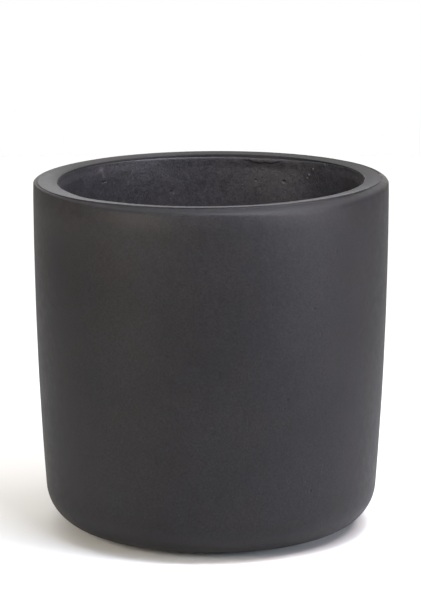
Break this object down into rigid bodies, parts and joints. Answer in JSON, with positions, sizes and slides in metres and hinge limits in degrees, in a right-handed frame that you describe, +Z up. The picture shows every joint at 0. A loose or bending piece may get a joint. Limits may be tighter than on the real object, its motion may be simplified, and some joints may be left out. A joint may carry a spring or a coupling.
{
  "type": "candle jar",
  "caption": "Empty straight-sided candle jar cast in matte charcoal cement, with a thick rounded rim, a round heel, a sealed inside and small foot pads.",
  "frame": {"origin": "middle of the surface that the foot pads stand on", "axes": "+Z up along the jar's axis, out of its mouth; -Y is the front"},
  "size_m": [0.09, 0.09, 0.09],
  "materials": {
    "cast_cement": "matte, fine grain with small air pits",
    "sealer": "satin, brushed thin over the casting",
    "pad_rubber": "matte"
  },
  "bodies": {
    "root": {"cast_shell": "cast_cement", "sealer_lining": "sealer", "foot_pad_front_left": "pad_rubber", "foot_pad_front_right": "pad_rubber", "foot_pad_back_left": "pad_rubber", "foot_pad_back_right": "pad_rubber"}
  },
  "joints": []
}
